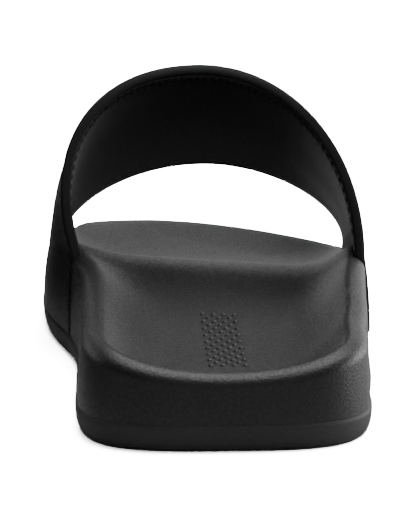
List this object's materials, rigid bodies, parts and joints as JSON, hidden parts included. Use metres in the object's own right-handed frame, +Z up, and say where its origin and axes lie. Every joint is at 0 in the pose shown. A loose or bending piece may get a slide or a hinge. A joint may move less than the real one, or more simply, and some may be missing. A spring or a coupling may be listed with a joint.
{
  "type": "sport slide sandal",
  "caption": "Open-toe slide sandal for the right foot: contoured moulded footbed on a thin outsole, with a wide lined strap over the instep.",
  "frame": {"origin": "on the floor, under the middle of the sole's length and of its greatest width", "axes": "+Y from heel to toe, +X to the little-toe side, +Z up"},
  "size_m": [0.1088, 0.2812, 0.0892],
  "materials": {
    "outsole": "matte black foam rubber, smooth band",
    "footbed": "matte black moulded foam with a fine pebbled grain",
    "strap": "smooth matte black synthetic leather",
    "lining": "soft black cloth"
  },
  "bodies": {
    "root": {"outsole": "outsole", "footbed": "footbed", "strap_outer": "strap", "strap_lining": "lining"}
  },
  "joints": []
}
